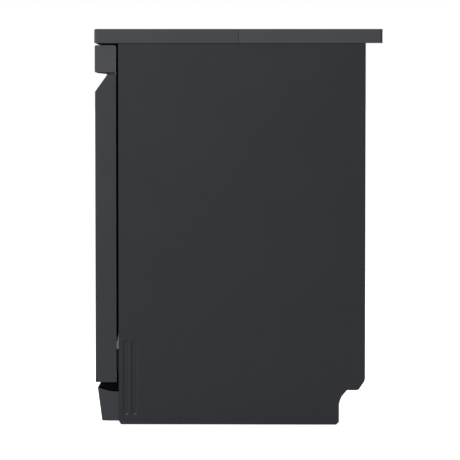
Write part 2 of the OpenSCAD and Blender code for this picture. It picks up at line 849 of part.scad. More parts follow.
// Painted outer pan with a sloping top that forms the lower side of the handle pocket.
module door_outer_panel() {
    f = -door_front;
    color([0.21, 0.21, 0.22]) difference() {
        along_x(-door_hw, door_hw) polygon([
            [f, door_z0], [f, 712], [-279.5, 746.8], [-279.5, door_z1], [-260, door_z1], [-260, door_z0]
        ]);
        along_x(-door_hw + sheet_t, door_hw - sheet_t) polygon([
            [f + 1, door_z0 + 1], [f + 1, 711.7], [-278.5, 746.4], [-278.5, door_z1 - 1],
            [-250, door_z1 - 1], [-250, door_z0 + 1]
        ]);
        block([-door_hw + sheet_t, -262, door_z1 - 2], [door_hw - sheet_t, -259, door_z1 + 1]);
    }
}

// Steel inner panel, raised into the tub, with openings for the dispenser and the hinges.
module door_inner_panel() {
    y0 = -261.2;
    y1 = -260.2;
    color([0.7, 0.71, 0.72]) {
        difference() {
            union() {
                block([-door_hw + 2.8, y0, door_z0 + 1.4], [door_hw - 2.8, y1, console_z1 - 2.8]);
                along_y(y0, -246) round_rect([-262, 200], [262, 770], 14);
            }
            along_y(y0 - 1, -247) round_rect([-261, 201], [261, 769], 13);
            for (m = [0, 1]) mirror([m, 0, 0])
                block([285, y0 - 1, door_z0], [door_hw, y1 + 1, 187]);
            block([-16, y0 - 1, 798], [16, y1 + 1, 812]);
            block([-46, -250, 414], [126, -240, 541]);
        }
    }
}

// Control panel shell, open at the rear and below.
module console() {
    h = door_hw;
    color([0.27, 0.27, 0.28]) difference() {
        along_x(-h, h) difference() {
            round_rect([-console_front, console_z0], [-260.2, console_z1], 3);
            translate([-console_front + 2.5, console_z0 - 1])
                square([60, console_z1 - console_z0 - 1.5]);
        }
        for (b = [[-262, -236], [182, 200], [236, 262]])
            block([b[0] - slide_gap, -320, 784 - slide_gap], [b[1] + slide_gap, -300, 796 + slide_gap]);
        block([-60, -320, 780], [60, -300, 800]);
    }
    color([0.27, 0.27, 0.28]) for (x = [-h, h - 2.5]) along_x(x, x + 2.5)
        round_rect([-console_front + 0.5, console_z0 + 0.3], [-260.7, console_z1 - 0.5], 3);
}

// Black filler under the control panel, with the deep finger recess in the middle.
module handle_pocket() {
    z = console_z0 - 0.1;
    g = grip_w / 2;
    color([0.06, 0.06, 0.06]) difference() {
        union() {
            along_x(-door_hw + 2.6, door_hw - 2.6)
                polygon([[-301, z - 1], [-279.6, 749.2], [-262.2, 749.2], [-262.2, z], [-301, z]]);
            block([-g - 2.2, -300, z - 2], [g + 2.2, -268, z + 24]);
        }
        block([-g, -297.8, z - 10], [g, -270.2, z + 21.8]);
        along_x(-g - 5, g + 5)
            polygon([
                [-310, z - 12], [-310, z - 1], [-301, z - 1], [-279.6, 749.2], [-260, 749.2], [-260, z - 12]
            ]);
    }
}

// Latch in the middle of the door, with the tongue that enters the crossbar.
module door_latch() {
    color([0.14, 0.14, 0.15]) {
        block([-26, -286, 782], [26, -262, 807.6]);
        block([-9, -262.5, 803], [9, -239, 806.6]);
    }
}

// Steel hinge levers inside the door, bored for the bracket pins.
module hinge_arms() {
    y = -pivot_y;
    color([0.75, 0.75, 0.76]) both_sides() difference() {
        union() {
            rod_x(287, 291, y, pivot_z, 9);
            along_x(287, 291) {
                polygon([
                    [y - 9, pivot_z], [-298, 206], [-298, 330], [-264, 330], [-264, 190],
                    [y, pivot_z + 9]
                ]);
                polygon([[y - 4, pivot_z], [y - 4, 112], [y + 4, 112], [y + 4, pivot_z]]);
            }
            block([287, -303.2, 230], [294.6, -300, 320]);
            block([287, -303.2, 230], [291, -296, 320]);
        }
        rod_x(280, 300, y, pivot_z, pin_r + run_gap);
        rod_x(280, 300, y, 117, 2.2);
    }
}

// Black sealing skirt along the lower edge of the door.
module door_bottom_seal() {
    z = door_z0;
    color([0.05, 0.05, 0.05]) {
        along_x(-door_hw + 2, door_hw - 2) intersection() {
            polygon([[-291, z - 0.2], [-297.5, 82.5], [-290, 60], [-256, 60], [-256, z - 0.2]]);
            translate([-pivot_y, pivot_z]) circle(r = 98.8, $fn = 180);
        }
        along_x(-283, 283) translate([-259.8, z - 1]) square([3.6, pivot_z - 1 - z]);
    }
}

// Detergent dispenser with a square chamber and a round rinse-aid well.
module dispenser_body() {
    color([0.45, 0.46, 0.48]) difference() {
        union() {
            along_y(-258, -244) round_rect([-45, 415], [125, 540], 8);
            along_y(-245.8, -243) round_rect([-50, 410], [130, 545], 8);
        }
        along_y(-256, -240) round_rect([lid_x0 + 3, 469], [lid_x0 + 73, 527], 10);
        rod_y(rinse_x, -255, -240, rinse_z, 15 + run_gap);
    }
}

module dispenser_lid() {
    color([0.52, 0.53, 0.55]) {
        along_y(-242.7, -240.2) round_rect([lid_x0, 465], [lid_x0 + 76, 531], 6);
        block([lid_x0 + 8, -240.3, 484], [lid_x0 + 12, -236.5, 512]);
    }
}

module rinse_aid_cap() {
    color([0.3, 0.42, 0.6]) {
        rod_y(rinse_x, -242.7, -239.5, rinse_z, 19);
        rod_y(rinse_x, -252, -242.6, rinse_z, 15);
        block([rinse_x - 14, -239.6, rinse_z - 2], [rinse_x + 14, -236, rinse_z + 2]);
    }
}

module display_window() {
    color([0.03, 0.03, 0.035]) {
        block([-59.8, -console_front - 0.3, 780.2], [59.8, -302.4, 799.8]);
        block([-62, -302.4, 778.5], [62, -299, 801.5]);
    }
}

module control_board() {
    color([0.1, 0.3, 0.16]) {
        block([-268, -289.6, 779], [268, -288, 806]);
        for (x = [-230, -120, 90, 150]) block([x, -288.1, 784], [x + 22, -279, 800]);
        block([-56, -298.6, 783], [56, -289.5, 798]);
    }
}

// Push button with a stem that reaches the switch on the board.
module button(x0, x1) {
    m = (x0 + x1) / 2;
    block([x0, -console_front - 0.8, 784], [x1, -300, 796]);
    block([x0 - 1.5, -302, 782.5], [x1 + 1.5, -300, 797.5]);
    rod_y(m, -300.5, -291.4, 790, 3);
}

module power_button() {
    color([0.5, 0.5, 0.52]) button(-262, -236);
}

module program_button() {
    color([0.3, 0.3, 0.31]) button(182, 200);
}

module start_button() {
    color([0.5, 0.5, 0.52]) button(236, 262);
}

side_panel_right();
side_panel_left();
worktop_board();
worktop_front_trim();
worktop_rear_trim();
worktop_front_seal();
back_panel();
base_tray();
kick_plate();
top_crossbar();
cabinet_screws();
tub();
door_seal();
hinge_brackets();
hinge_springs();
sump();
filter_plate();
filter_cup();
circulation_pump();
drain_pump();
water_softener();
salt_cap();
inlet_valve();
air_break();
water_feed_pipe();
float_cap();
lower_spray_arm();
top_spray_arm();
foot_front_left();
foot_front_right();
foot_rear_left();
foot_rear_right();
rack_rails();
upper_runners();
upper_rack();
upper_feed_pipe();
middle_spray_arm();
cup_shelf_left();
cup_shelf_right();
cutlery_tray();
lower_rack();
tine_row();
cutlery_basket();
front_wheels();
rear_wheels();
door_outer_panel();
door_inner_panel();
console();
handle_pocket();
door_latch();
hinge_arms();
door_bottom_seal();
dispenser_body();
dispenser_lid();
rinse_aid_cap();
display_window();
control_board();
power_button();
program_button();
start_button();
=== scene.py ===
import bpy
import bmesh
import json
import math
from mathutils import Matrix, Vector


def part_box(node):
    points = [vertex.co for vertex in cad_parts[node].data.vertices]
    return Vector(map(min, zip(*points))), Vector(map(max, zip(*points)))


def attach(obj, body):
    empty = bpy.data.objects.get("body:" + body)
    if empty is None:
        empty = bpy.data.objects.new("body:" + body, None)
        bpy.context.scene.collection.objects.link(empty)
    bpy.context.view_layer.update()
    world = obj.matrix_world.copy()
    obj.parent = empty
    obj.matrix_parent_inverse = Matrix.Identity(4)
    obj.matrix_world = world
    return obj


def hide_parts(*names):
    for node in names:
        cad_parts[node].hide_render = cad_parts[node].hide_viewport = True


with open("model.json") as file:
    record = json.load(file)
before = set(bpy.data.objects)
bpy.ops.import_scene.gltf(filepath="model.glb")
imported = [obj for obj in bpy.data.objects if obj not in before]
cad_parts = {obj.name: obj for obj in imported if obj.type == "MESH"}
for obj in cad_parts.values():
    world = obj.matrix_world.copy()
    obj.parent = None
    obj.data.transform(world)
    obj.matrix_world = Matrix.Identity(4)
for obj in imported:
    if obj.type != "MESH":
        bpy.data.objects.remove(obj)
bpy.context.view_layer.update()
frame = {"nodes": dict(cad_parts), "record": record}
NODES = frame["nodes"]
BODIES = frame["record"]["behaviour"]["bodies"]
BODY_OF = {node: body for body, members in BODIES.items() for node in members}
MM = 0.001
AXIS = {"x": Vector((1, 0, 0)), "y": Vector((0, 1, 0)), "z": Vector((0, 0, 1))}


# ---- materials ----

def new_material(name):
    """An empty node material with its shader and object coordinates."""
    material = bpy.data.materials.new(name)
    material.use_nodes = True
    tree = material.node_tree
    shader = tree.nodes["Principled BSDF"]
    place = tree.nodes.new("ShaderNodeTexCoord")
    return material, tree, shader, place.outputs["Object"]


def noise(tree, place, scale, detail=2.0, stretch=(1, 1, 1)):
    """A noise field, with scale in features a metre, stretched by axis."""
    mapping = tree.nodes.new("ShaderNodeMapping")
    mapping.inputs["Scale"].default_value = stretch
    tree.links.new(place, mapping.inputs["Vector"])
    field = tree.nodes.new("ShaderNodeTexNoise")
    field.inputs["Scale"].default_value = scale
    field.inputs["Detail"].default_value = detail
    tree.links.new(mapping.outputs["Vector"], field.inputs["Vector"])
    return field.outputs["Fac"]


def spread(tree, field, low, high):
    """The field's middle range mapped to low and high."""
    node = tree.nodes.new("ShaderNodeMapRange")
    node.inputs["From Min"].default_value = 0.3
    node.inputs["From Max"].default_value = 0.7
    node.inputs["To Min"].default_value = low
    node.inputs["To Max"].default_value = high
    tree.links.new(field, node.inputs["Value"])
    return node.outputs["Result"]


def tone(tree, color, factor):
    """A colour made lighter and darker by a factor that varies round 1."""
    node = tree.nodes.new("ShaderNodeVectorMath")
    node.operation = "SCALE"
    node.inputs[0].default_value = color
    tree.links.new(factor, node.inputs["Scale"])
    return node.outputs["Vector"]


def bump(tree, shader, height, distance):
    """A bump of that height in metres on the shader's normal."""
    node = tree.nodes.new("ShaderNodeBump")
    node.inputs["Distance"].default_value = distance
    node.inputs["Strength"].default_value = 1.0
    tree.links.new(height, node.inputs["Height"])
    tree.links.new(node.outputs["Normal"], shader.inputs["Normal"])


def surface(name, color, rough, grain, depth, metal=0.0, mottle=0.06, stretch=(1, 1, 1), specular=0.5):
    """A finish with fine grain, slow colour drift and uneven gloss."""
    material, tree, shader, place = new_material(name)
    fine = noise(tree, place, grain, 3.0, stretch)
    slow = noise(tree, place, 7.0, 3.0)
    shader.inputs["Metallic"].default_value = metal
    shader.inputs["Specular IOR Level"].default_value = specular
    tree.links.new(tone(tree, color, spread(tree, slow, 1 - mottle, 1 + mottle)), shader.inputs["Base Color"])
    gloss = tree.nodes.new("ShaderNodeMath")
    gloss.operation = "ADD"
    tree.links.new(spread(tree, slow, rough - 0.02, rough + 0.02), gloss.inputs[0])
    tree.links.new(spread(tree, fine, -0.04, 0.04), gloss.inputs[1])
    tree.links.new(gloss.outputs[0], shader.inputs["Roughness"])
    bump(tree, shader, fine, depth)
    return material


def laminate():
    """Fine mineral fleck on the worktop board."""
    material, tree, shader, place = new_material("worktop_laminate")
    cells = tree.nodes.new("ShaderNodeTexVoronoi")
    cells.inputs["Scale"].default_value = 900.0
    tree.links.new(place, cells.inputs["Vector"])
    ramp = tree.nodes.new("ShaderNodeValToRGB")
    ramp.color_ramp.elements[0].position = 0.0
    ramp.color_ramp.elements[0].color = (0.040, 0.040, 0.043, 1)
    ramp.color_ramp.elements[1].position = 1.0
    ramp.color_ramp.elements[1].color = (0.120, 0.121, 0.126, 1)
    tree.links.new(cells.outputs["Color"], ramp.inputs["Fac"])
    tree.links.new(ramp.outputs["Color"], shader.inputs["Base Color"])
    fine = noise(tree, place, 1200.0)
    tree.links.new(spread(tree, fine, 0.58, 0.72), shader.inputs["Roughness"])
    shader.inputs["Specular IOR Level"].default_value = 0.22
    bump(tree, shader, fine, 0.00006)
    return material


def mesh_steel():
    """Steel sheet with fine etched holes, for the filter; the holes are dimples with painted shade in them,
    not cut through.
    """
    material, tree, shader, place = new_material("filter_mesh")
    cells = tree.nodes.new("ShaderNodeTexVoronoi")
    cells.inputs["Scale"].default_value = 520.0
    cells.inputs["Randomness"].default_value = 0.0
    tree.links.new(place, cells.inputs["Vector"])
    hole = tree.nodes.new("ShaderNodeMapRange")
    hole.inputs["From Min"].default_value = 0.28
    hole.inputs["From Max"].default_value = 0.36
    tree.links.new(cells.outputs["Distance"], hole.inputs["Value"])
    # the hole spots are darkened to a quarter of the steel colour: painted shade inside the holes
    tree.links.new(tone(tree, (0.55, 0.56, 0.57), spread(tree, hole.outputs["Result"], 0.25, 1.0)),
                   shader.inputs["Base Color"])
    shader.inputs["Metallic"].default_value = 1.0
    tree.links.new(spread(tree, noise(tree, place, 300.0), 0.28, 0.42), shader.inputs["Roughness"])
    bump(tree, shader, hole.outputs["Result"], 0.0003)
    return material


def board_green():
    """Solder resist with copper tracks."""
    material, tree, shader, place = new_material("circuit_board")
    wave = tree.nodes.new("ShaderNodeTexBrick")
    wave.inputs["Scale"].default_value = 90.0
    wave.inputs["Mortar Size"].default_value = 0.03
    wave.inputs["Color1"].default_value = (0.014, 0.085, 0.036, 1)
    wave.inputs["Color2"].default_value = (0.018, 0.100, 0.042, 1)
    wave.inputs["Mortar"].default_value = (0.09, 0.20, 0.06, 1)
    tree.links.new(place, wave.inputs["Vector"])
    tree.links.new(wave.outputs["Color"], shader.inputs["Base Color"])
    tree.links.new(spread(tree, noise(tree, place, 200.0), 0.30, 0.42), shader.inputs["Roughness"])
    return material


PAINT = (0.0203, 0.0215, 0.0256)
MATERIALS = {
    "graphite_paint": surface("graphite_paint", PAINT, 0.50, 620.0, 0.00005, mottle=0.025, specular=0.22),
    "door_paint": surface("door_paint", (0.0278, 0.0297, 0.0347), 0.48, 620.0, 0.00005, mottle=0.025,
                          specular=0.24),
    "console_paint": surface("console_paint", (0.0442, 0.0460, 0.0516), 0.42, 620.0, 0.00004,
                             mottle=0.02, specular=0.26),
    "worktop_laminate": laminate(),
    "edge_trim_front": surface("edge_trim_front", (0.0374, 0.0404, 0.0452), 0.44, 900.0, 0.00003, mottle=0.03,
                               specular=0.26),
    "edge_trim": surface("edge_trim", (0.0418, 0.0450, 0.0503), 0.44, 900.0, 0.00003, mottle=0.03,
                         specular=0.3),
    "stainless": surface("stainless", (0.66, 0.66, 0.655), 0.33, 160.0, 0.000010, 1.0, 0.02, (40, 1, 1)),
    "stainless_door": surface("stainless_door", (0.66, 0.66, 0.655), 0.34, 160.0, 0.000010, 1.0, 0.02,
                              (1, 1, 40)),
    "filter_mesh": mesh_steel(),
    "galvanised": surface("galvanised", (0.50, 0.51, 0.52), 0.40, 60.0, 0.00003, 1.0, 0.07),
    "zinc_bright": surface("zinc_bright", (0.66, 0.67, 0.68), 0.30, 400.0, 0.00002, 1.0, 0.05),
    "black_steel": surface("black_steel", (0.010, 0.010, 0.0105), 0.55, 500.0, 0.00004, specular=0.2),
    "zinc_dull": surface("zinc_dull", (0.20, 0.20, 0.205), 0.52, 240.0, 0.00004, 1.0, 0.12),
    "base_plastic": surface("base_plastic", (0.050, 0.051, 0.053), 0.55, 700.0, 0.00006),
    # black rubber for the real seals; the same finish also colours worktop_front_seal, a black strip that is
    # painted shadow under the worktop's front
    "black_rubber": surface("black_rubber", (0.0016, 0.0016, 0.0018), 0.80, 500.0, 0.00006, specular=0.03),
    "black_plastic": surface("black_plastic", (0.016, 0.016, 0.017), 0.52, 1100.0, 0.00006),
    "plinth_plastic": surface("plinth_plastic", (0.0306, 0.0328, 0.0386), 0.50, 900.0, 0.00005,
                              mottle=0.03, specular=0.26),
    "white_plastic": surface("white_plastic", (0.72, 0.71, 0.67), 0.42, 700.0, 0.00004, mottle=0.03),
    "grey_plastic": surface("grey_plastic", (0.14, 0.15, 0.165), 0.45, 900.0, 0.00005),
    "tray_plastic": surface("tray_plastic", (0.20, 0.21, 0.225), 0.48, 900.0, 0.00006),
    "blue_plastic": surface("blue_plastic", (0.05, 0.12, 0.27), 0.40, 700.0, 0.00004),
    "rack_coating": surface("rack_coating", (0.30, 0.315, 0.335), 0.36, 260.0, 0.00008, mottle=0.05),
    "display_cover": surface("display_cover", (0.006, 0.006, 0.007), 0.09, 80.0, 0.000002, mottle=0.05),
    "circuit_board": board_green(),
    "button_plastic": surface("button_plastic", (0.17, 0.17, 0.18), 0.36, 900.0, 0.00003),
}


# ---- mesh helpers ----

def add_piece(name, bm, body, material, replaces=(), smooth=True):
    """Links a mesh as a piece that rides a body and stands for CAD nodes."""
    bmesh.ops.recalc_face_normals(bm, faces=bm.faces)
    mesh = bpy.data.meshes.new(name)
    bm.to_mesh(mesh)
    bm.free()
    piece = bpy.data.objects.new(name, mesh)
    bpy.context.scene.collection.objects.link(piece)
    mesh.materials.append(MATERIALS[material])
    if smooth:
        for polygon in mesh.polygons:
            polygon.use_smooth = True
    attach(piece, body)
    if replaces:
        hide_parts(*replaces)
    return piece


def dress(node, material, edge=0.6):
    """A CAD node gets its finish and, in millimetres, softly rounded edges."""
    part = NODES[node]
    if not part.material_slots:
        part.data.materials.append(MATERIALS[material])
    for place in part.material_slots:
        place.material = MATERIALS[material]
    if edge:
        rounding = part.modifiers.new("edges", "BEVEL")
        rounding.width = edge * MM
        rounding.segments = 2
        rounding.limit_method = "ANGLE"
        rounding.angle_limit = math.radians(50)
        rounding.harden_normals = False
        rounding.use_clamp_overlap = True
    return part


def fillet(points, radius, steps=5, closed=False):
    """A path whose corners are replaced by arcs."""
    points = [Vector(p) for p in points]
    count = len(points)
    path = []
    for i, corner in enumerate(points):
        if not closed and i in (0, count - 1):
            path.append(corner)
            continue
        before = points[(i - 1) % count] - corner
        after = points[(i + 1) % count] - corner
        reach = min(radius, before.length * 0.48, after.length * 0.48)
        a = corner + before.normalized() * reach
        b = corner + after.normalized() * reach
        for k in range(steps + 1):
            t = k / steps
            path.append(a * (1 - t) ** 2 + corner * 2 * t * (1 - t) + b * t ** 2)
    return path


def tube(bm, path, radius, sides=10, closed=False, caps=True):
    """A round wire swept along a path, with domed ends."""
    path = [Vector(p) for p in path]
    count = len(path)
    rings = []
    normal = None
    for i, point in enumerate(path):
        ahead = path[(i + 1) % count] if closed or i < count - 1 else point
        behind = path[(i - 1) % count] if closed or i > 0 else point
        along = (ahead - behind).normalized()
        if normal is None:
            guess = AXIS["z"] if abs(along.z) < 0.9 else AXIS["x"]
            normal = along.cross(guess).normalized()
        normal = (normal - along * normal.dot(along)).normalized()
        side = along.cross(normal)
        rings.append([bm.verts.new(point + radius * (normal * math.cos(a) + side * math.sin(a)))
                      for a in (2 * math.pi * k / sides for k in range(sides))])
    last = count if closed else count - 1
    for i in range(last):
        near, far = rings[i], rings[(i + 1) % count]
        for k in range(sides):
            bm.faces.new((near[k], near[(k + 1) % sides], far[(k + 1) % sides], far[k]))
    if caps and not closed:
        for ring, point, inner in ((rings[0], path[0], path[1]), (rings[-1], path[-1], path[-2])):
            tip = bm.verts.new(point + (point - inner).normalized() * radius * 0.45)
            for k in range(sides):
                bm.faces.new((ring[k], ring[(k + 1) % sides], tip))


def steps_between(low, high, pitch):
    """Evenly spread places from low to high, near that pitch."""
    count = max(1, round((high - low) / pitch))
    return [low + (high - low) * i / count for i in range(count + 1)]


def turned(bm, profile, centre, axis, sides=48):
    """A lathe body: profile is a list of (distance along the axis, radius)."""
    along = AXIS[axis]
    u = AXIS["y"] if axis == "x" else AXIS["x"]
    v = along.cross(u)
    centre = Vector(centre)
    rings = []
    for height, radius in profile:
        if radius < 1e-6:
            rings.append([bm.verts.new(centre + along * height)])
            continue
        rings.append([bm.verts.new(centre + along * height + radius * (u * math.cos(a) + v * math.sin(a)))
                      for a in (2 * math.pi * k / sides for k in range(sides))])
    for near, far in zip(rings, rings[1:]):
        for k in range(sides):
            n = (k + 1) % sides
            corners = [near[k % len(near)], near[n % len(near)], far[n % len(far)], far[k % len(far)]]
            corners = [c for i, c in enumerate(corners) if c not in corners[:i]]
            if len(corners) > 2:
                bm.faces.new(corners)


def rounded_box(bm, low, high, radius, segments=3):
    """A box with round edges, as part of a larger mesh."""
    low, high = Vector(low), Vector(high)
    made = bmesh.ops.create_cube(bm, size=1.0)["verts"]
    for vert in made:
        vert.co = Vector([low[i] + (vert.co[i] + 0.5) * (high[i] - low[i]) for i in range(3)])
    edges = {edge for vert in made for edge in vert.link_edges}
    bmesh.ops.bevel(bm, geom=list(edges), offset=radius, segments=segments, affect="EDGES", profile=0.5)


# ---- racks ----

WIRE_R = 0.0018
RIM_R = 0.0026
BASKET_X = 0.2445
HANG_X = 0.2489
WHEEL_X = 0.2518
SHELF_X = 0.232
SHELF_Z = 0.636

def basket_wires(bm, low, high, rim, floor, sides_z, front_z, pitch):
    """U-shaped wires both ways, a thick rim and a middle band, all with rounded bends."""
    (x0, y0), (x1, y1) = low, high
    for x in steps_between(x0 + 0.02, x1 - 0.02, pitch):
        tube(bm, fillet([(x, y0, front_z), (x, y0, floor), (x, y1, floor), (x, y1, sides_z)], 0.022), WIRE_R,
             8)
    for y in steps_between(y0 + 0.02, y1 - 0.02, 2.2 * pitch):
        tube(bm, fillet([(x0, y, sides_z), (x0, y, floor - 0.0032), (x1, y, floor - 0.0032),
                         (x1, y, sides_z)],
                        0.022), WIRE_R, 8)
    for level in (0.5, 1.0):
        back = floor + (sides_z - floor) * level
        front = floor + (front_z - floor) * level
        radius = rim if level == 1.0 else 0.002
        loop = [(x0, y1, back), (x0, y0 + 0.09, back), (x0, y0 + 0.05, front), (x0, y0, front),
                (x1, y0, front), (x1, y0 + 0.05, front), (x1, y0 + 0.09, back), (x1, y1, back)]
        tube(bm, fillet(loop, 0.03, 5, closed=True), radius, 10, closed=True)


def tines(bm, x, y0, y1, z, height, pitch, lean=0.0):
    """Hairpin tines on one long wire."""
    tube(bm, [(x, y0, z), (x, y1, z)], WIRE_R, 8)
    for y in steps_between(y0 + 0.006, y1 - 0.006, pitch):
        tube(bm, [(x, y, z), (x + lean * 0.5, y, z + height * 0.55), (x + lean, y, z + height)], WIRE_R, 8)


def make_lower_rack():
    low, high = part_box("lower_rack")
    tine_low, tine_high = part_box("tine_row")
    floor = tine_low[2] - 0.0045
    bm = bmesh.new()
    y0, y1 = low[1] + 0.004, high[1] - 0.004
    basket_wires(bm, (-BASKET_X, y0), (BASKET_X, y1), RIM_R, floor, high[2] - 0.003, high[2] - 0.08, 0.034)
    for x in (0.092, 0.168):
        tines(bm, x, tine_low[1], tine_high[1], floor + 0.0036, 0.078, 0.030)
    for x in (-0.12, -0.18):
        tube(bm, [(x, tine_low[1], floor + 0.0036), (x, tine_high[1], floor + 0.0036)], WIRE_R, 8)
    for end in (tine_low[1] + 0.002, tine_high[1] - 0.008):
        x = (tine_low[0] + tine_high[0]) / 2
        for side in (-1, 1):
            rounded_box(bm, (x + side * 0.0038 - 0.0012, end, floor + 0.001),
                        (x + side * 0.0038 + 0.0012, end + 0.006, floor + 0.0135), 0.0005, 1)
    for side in (-1, 1):
        tube(bm, fillet([(side * BASKET_X, y0 + 0.09, high[2] - 0.02),
                         (side * BASKET_X, y0 + 0.02, high[2] - 0.055),
                         (side * BASKET_X, y0 + 0.02, floor + 0.01)], 0.01), WIRE_R, 8)
    piece = add_piece("lower_rack_wires", bm, "lower_basket", "rack_coating", ("lower_rack",))
    holders = bmesh.new()
    for side in (-1, 1):
        for wheel in ("front_wheels", "rear_wheels"):
            a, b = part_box(wheel)
            y, z = (a[1] + b[1]) / 2, (a[2] + b[2]) / 2
            inner = HANG_X if side > 0 else -0.2514
            rounded_box(holders, (inner, y - 0.014, z - 0.009), (inner + 0.0025, y + 0.014, z + 0.058),
                        0.001, 2)
            start = 0.2512 if side > 0 else -0.2512
            turned(holders, [(0, 0), (0, 0.004), (side * 0.0112, 0.004), (side * 0.0112, 0.0064),
                             (side * 0.0124, 0.0062), (side * 0.0128, 0.0045), (side * 0.0128, 0)],
                   (start, y, z), "x", 24)
    piece = add_piece("lower_rack_wheel_holders", holders, "lower_basket", "grey_plastic")


def make_wheels(node, body):
    """Ribbed rack wheels with a rounded tread."""
    low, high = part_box(node)
    y, z = (low[1] + high[1]) / 2, (low[2] + high[2]) / 2
    radius = (high[2] - low[2]) / 2
    width = high[0] - WHEEL_X
    bm = bmesh.new()
    for side in (-1, 1):
        profile = [(0, 0.00405), (0, 0.0085), (0.002, 0.0085), (0.002, 0.0135), (0, 0.0135),
                   (0, radius - 0.0015),
                   (0.0012, radius), (width - 0.0012, radius), (width, radius - 0.0015), (width, 0.0135),
                   (width - 0.002, 0.0135), (width - 0.002, 0.0085), (width, 0.0085), (width, 0.00405),
                   (0, 0.00405)]
        turned(bm, [(side * h, r) for h, r in profile], (side * WHEEL_X, y, z), "x", 40)
        for k in range(6):
            angle = k * math.pi / 3
            spoke = bmesh.ops.create_cube(bm, size=1.0)["verts"]
            for vert in spoke:
                along, across = 0.011 + vert.co.y * 0.0052, vert.co.z * 0.0018
                vert.co = Vector((side * (WHEEL_X + width / 2 + vert.co.x * (width - 0.001)),
                                  y + along * math.cos(angle) - across * math.sin(angle),
                                  z + along * math.sin(angle) + across * math.cos(angle)))
    piece = add_piece(node + "_ribbed", bm, body, "grey_plastic", (node,), smooth=False)


def make_tine_row():
    low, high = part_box("tine_row")
    x, z = (low[0] + high[0]) / 2, low[2] + 0.0024
    bm = bmesh.new()
    tube(bm, [(x, low[1], z), (x, high[1], z)], 0.0024, 12)
    for y in steps_between(low[1] + 0.018, high[1] - 0.018, 0.030):
        tube(bm, [(x, y, z), (x, y, high[2] - 0.0008)], 0.0017, 8)
    piece = add_piece("folding_tine_wires", bm, "folding_tines", "rack_coating", ("tine_row",))


def make_upper_rack():
    low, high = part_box("upper_rack")
    shelf_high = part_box("cup_shelf_right")[1]
    floor = low[2] + 0.0060
    y0, y1 = low[1] + 0.004, high[1] - 0.004
    bm = bmesh.new()
    basket_wires(bm, (-BASKET_X, y0), (BASKET_X, y1), RIM_R, floor, high[2] - 0.003, high[2] - 0.04, 0.034)
    for x in (-0.040, 0.052):
        tines(bm, x, -0.150, 0.150, floor + 0.0036, 0.048, 0.038)
    piece = add_piece("upper_rack_wires", bm, "upper_basket", "rack_coating", ("upper_rack",))
    parts = bmesh.new()
    shelf_x = shelf_high[0] - 0.0024
    for side in (-1, 1):
        for y in (-0.150, 0.116):
            a, b = sorted((side * (shelf_x + 0.0028), side * (BASKET_X + 0.0005)))
            rounded_box(parts, (a, y, SHELF_Z - 0.005), (b, y + 0.006, SHELF_Z + 0.005), 0.0012, 2)
            a, b = sorted((side * (shelf_x - 0.005), side * (BASKET_X + 0.0005)))
            rounded_box(parts, (a, y, SHELF_Z - 0.0075), (b, y + 0.006, SHELF_Z - 0.0028), 0.001, 2)
        a, b = sorted((side * HANG_X, side * 0.2530))
        rounded_box(parts, (a, -0.180, 0.606), (b, 0.140, 0.626), 0.0015, 2)
        for y in (-0.166, -0.020, 0.126):
            start = side * 0.2529
            turned(parts, [(0, 0), (0, 0.0052), (side * 0.002, 0.0052), (side * 0.002, 0.0118),
                           (side * 0.003, 0.013),
                           (side * 0.0125, 0.013), (side * 0.0137, 0.0118), (side * 0.0137, 0.004),
                           (side * 0.0131, 0.0036), (side * 0.0131, 0)], (start, y, 0.616), "x", 36)
    piece = add_piece("upper_rack_carriers", parts, "upper_basket", "grey_plastic", smooth=False)
    grip = bmesh.new()
    rounded_box(grip, (-0.075, y0 - 0.0035, high[2] - 0.058), (0.075, y0 + 0.0035, high[2] - 0.034), 0.003, 3)
    piece = add_piece("upper_rack_grip", grip, "upper_basket", "tray_plastic")


def make_cup_shelf(node, body):
    """A folding shelf of round wires with a curved lip."""
    low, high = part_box(node)
    side = 1 if high[0] > 0 else -1
    pivot = side * SHELF_X
    tip = side * 0.160
    z = SHELF_Z
    bm = bmesh.new()
    tube(bm, [(pivot, low[1], z), (pivot, high[1], z)], 0.0024, 12)
    frame_path = [(pivot, low[1] + 0.012, z), (tip, low[1] + 0.012, z), (tip, high[1] - 0.012, z),
                  (pivot, high[1] - 0.012, z)]
    tube(bm, fillet(frame_path, 0.016), 0.0019, 10)
    for y in steps_between(low[1] + 0.034, high[1] - 0.034, 0.026):
        tube(bm, [(pivot, y, z), (tip, y, z)], 0.0017, 8)
    middle = (pivot + tip) / 2
    tube(bm, [(middle, low[1] + 0.012, z + 0.0028), (middle, high[1] - 0.012, z + 0.0028)], 0.0016, 8)
    piece = add_piece(node + "_wires", bm, body, "rack_coating", (node,))


# ---- springs, screws, feet and spray arms ----

def make_springs():
    """Real coils with hooked ends beside the tub."""
    x, z = 0.286, 0.122
    bm = bmesh.new()
    turns, coil = 22, 0.0068
    for side in (-1, 1):
        helix = []
        for k in range(turns * 12 + 1):
            angle = 2 * math.pi * k / 12
            helix.append((side * x + coil * math.cos(angle), -0.134 + 0.148 * k / (turns * 12),
                          z + coil * math.sin(angle)))
        tube(bm, helix, 0.0013, 6)
        tube(bm, fillet([(side * x + coil, -0.134, z), (side * x, -0.140, z), (side * x, -0.152, z)], 0.004),
             0.0013, 6)
        tube(bm, fillet([(side * x + coil, 0.014, z), (side * x, 0.020, z), (side * x, 0.037, z)], 0.004),
             0.0013, 6)
        a, b = sorted((side * 0.282, side * 0.290))
        rounded_box(bm, (a, 0.036, 0.0112), (b, 0.040, 0.128), 0.0006, 2)
    piece = add_piece("balance_spring_coils", bm, "cabinet", "zinc_bright", ("hinge_springs",))


